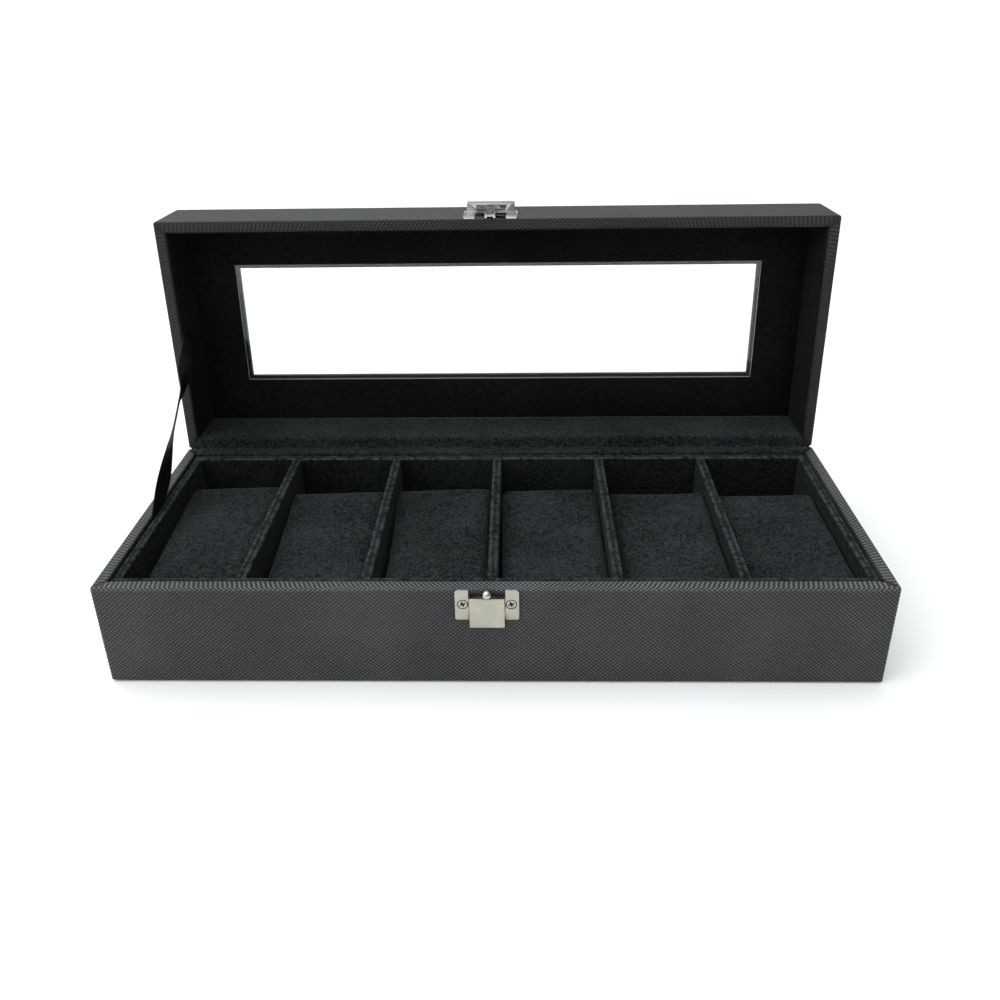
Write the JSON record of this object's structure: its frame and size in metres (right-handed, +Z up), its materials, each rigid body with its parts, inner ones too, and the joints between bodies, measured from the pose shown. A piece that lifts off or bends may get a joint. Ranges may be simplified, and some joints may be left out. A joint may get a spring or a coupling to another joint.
{
  "type": "watch box",
  "caption": "Leatherette watch box with a glazed lid, velvet compartments, lift-out pillows, ribbon stay and press latch.",
  "frame": {"origin": "centre of the underside, on the surface the box stands on", "axes": "+X along the long side to the right seen from the latch, +Y to the hinge, +Z up"},
  "size_m": [0.302, 0.1477, 0.1601],
  "materials": {
    "leatherette": "embossed, slight sheen",
    "velvet": "short dense pile",
    "velvet_board": "covered in short velvet",
    "board": "black-faced fibreboard",
    "felt": "pressed felt",
    "glass": "clear, cut edges",
    "ribbon": "satin weave",
    "nickel": "satin nickel plate",
    "bright_nickel": "bright nickel plate"
  },
  "bodies": {
    "base": {"base_floor": "board", "base_front_board": "board", "base_rear_board": "board", "base_left_board": "board", "base_right_board": "board", "base_wrap": "leatherette", "base_felt": "felt", "hinge_velvet_base": "velvet", "hinge_spine_base": "leatherette", "tray_floor": "velvet_board", "tray_front": "velvet_board", "tray_rear": "velvet_board", "tray_left": "velvet_board", "tray_right": "velvet_board", "divider_1": "velvet_board", "divider_2": "velvet_board", "divider_3": "velvet_board", "divider_4": "velvet_board", "divider_5": "velvet_board", "latch_plate": "nickel", "latch_pin": "nickel", "latch_spring": "nickel", "latch_screws": "nickel", "ribbon_stay": "ribbon"},
    "lid": {"lid_top_board": "board", "lid_front_board": "board", "lid_rear_board": "board", "lid_left_board": "board", "lid_right_board": "board", "lid_wrap": "leatherette", "window_spacer": "velvet", "window_glass": "glass", "lid_lining_panel": "velvet", "lid_front_lining": "velvet", "lid_left_lining": "velvet", "lid_right_lining": "velvet", "hinge_velvet_lid": "velvet", "hinge_spine_lid": "leatherette", "hasp_plate": "bright_nickel", "hasp_clip": "bright_nickel", "hasp_rivet": "bright_nickel", "hasp_screws": "bright_nickel"},
    "button": {"latch_button": "nickel", "catch_ball": "bright_nickel"},
    "pillow_1": {"pillow_1": "velvet"},
    "pillow_2": {"pillow_2": "velvet"},
    "pillow_3": {"pillow_3": "velvet"},
    "pillow_4": {"pillow_4": "velvet"},
    "pillow_5": {"pillow_5": "velvet"},
    "pillow_6": {"pillow_6": "velvet"}
  },
  "joints": [
    {"name": "lid_hinge", "type": "hinge", "parent": "base", "child": "lid", "pos_m": [0, 0.0555, 0.045], "axis": [-1, 0, 0], "range_deg": [-92, 0], "deforming": ["ribbon_stay"]},
    {"name": "button_press", "type": "hinge", "parent": "base", "child": "button", "pos_m": [-0.0017, -0.057, 0.034], "axis": [1, 0, 0], "range_deg": [0, 8], "stiffness_Nm_per_rad": 0.02, "springref_deg": -11.46, "deforming": ["latch_spring"]},
    {"name": "pillow_1_lift", "type": "slide", "parent": "base", "child": "pillow_1", "axis": [0, 0, 1], "range_m": [0, 0.06]},
    {"name": "pillow_2_lift", "type": "slide", "parent": "base", "child": "pillow_2", "axis": [0, 0, 1], "range_m": [0, 0.06]},
    {"name": "pillow_3_lift", "type": "slide", "parent": "base", "child": "pillow_3", "axis": [0, 0, 1], "range_m": [0, 0.06]},
    {"name": "pillow_4_lift", "type": "slide", "parent": "base", "child": "pillow_4", "axis": [0, 0, 1], "range_m": [0, 0.06]},
    {"name": "pillow_5_lift", "type": "slide", "parent": "base", "child": "pillow_5", "axis": [0, 0, 1], "range_m": [0, 0.06]},
    {"name": "pillow_6_lift", "type": "slide", "parent": "base", "child": "pillow_6", "axis": [0, 0, 1], "range_m": [0, 0.06]}
  ]
}
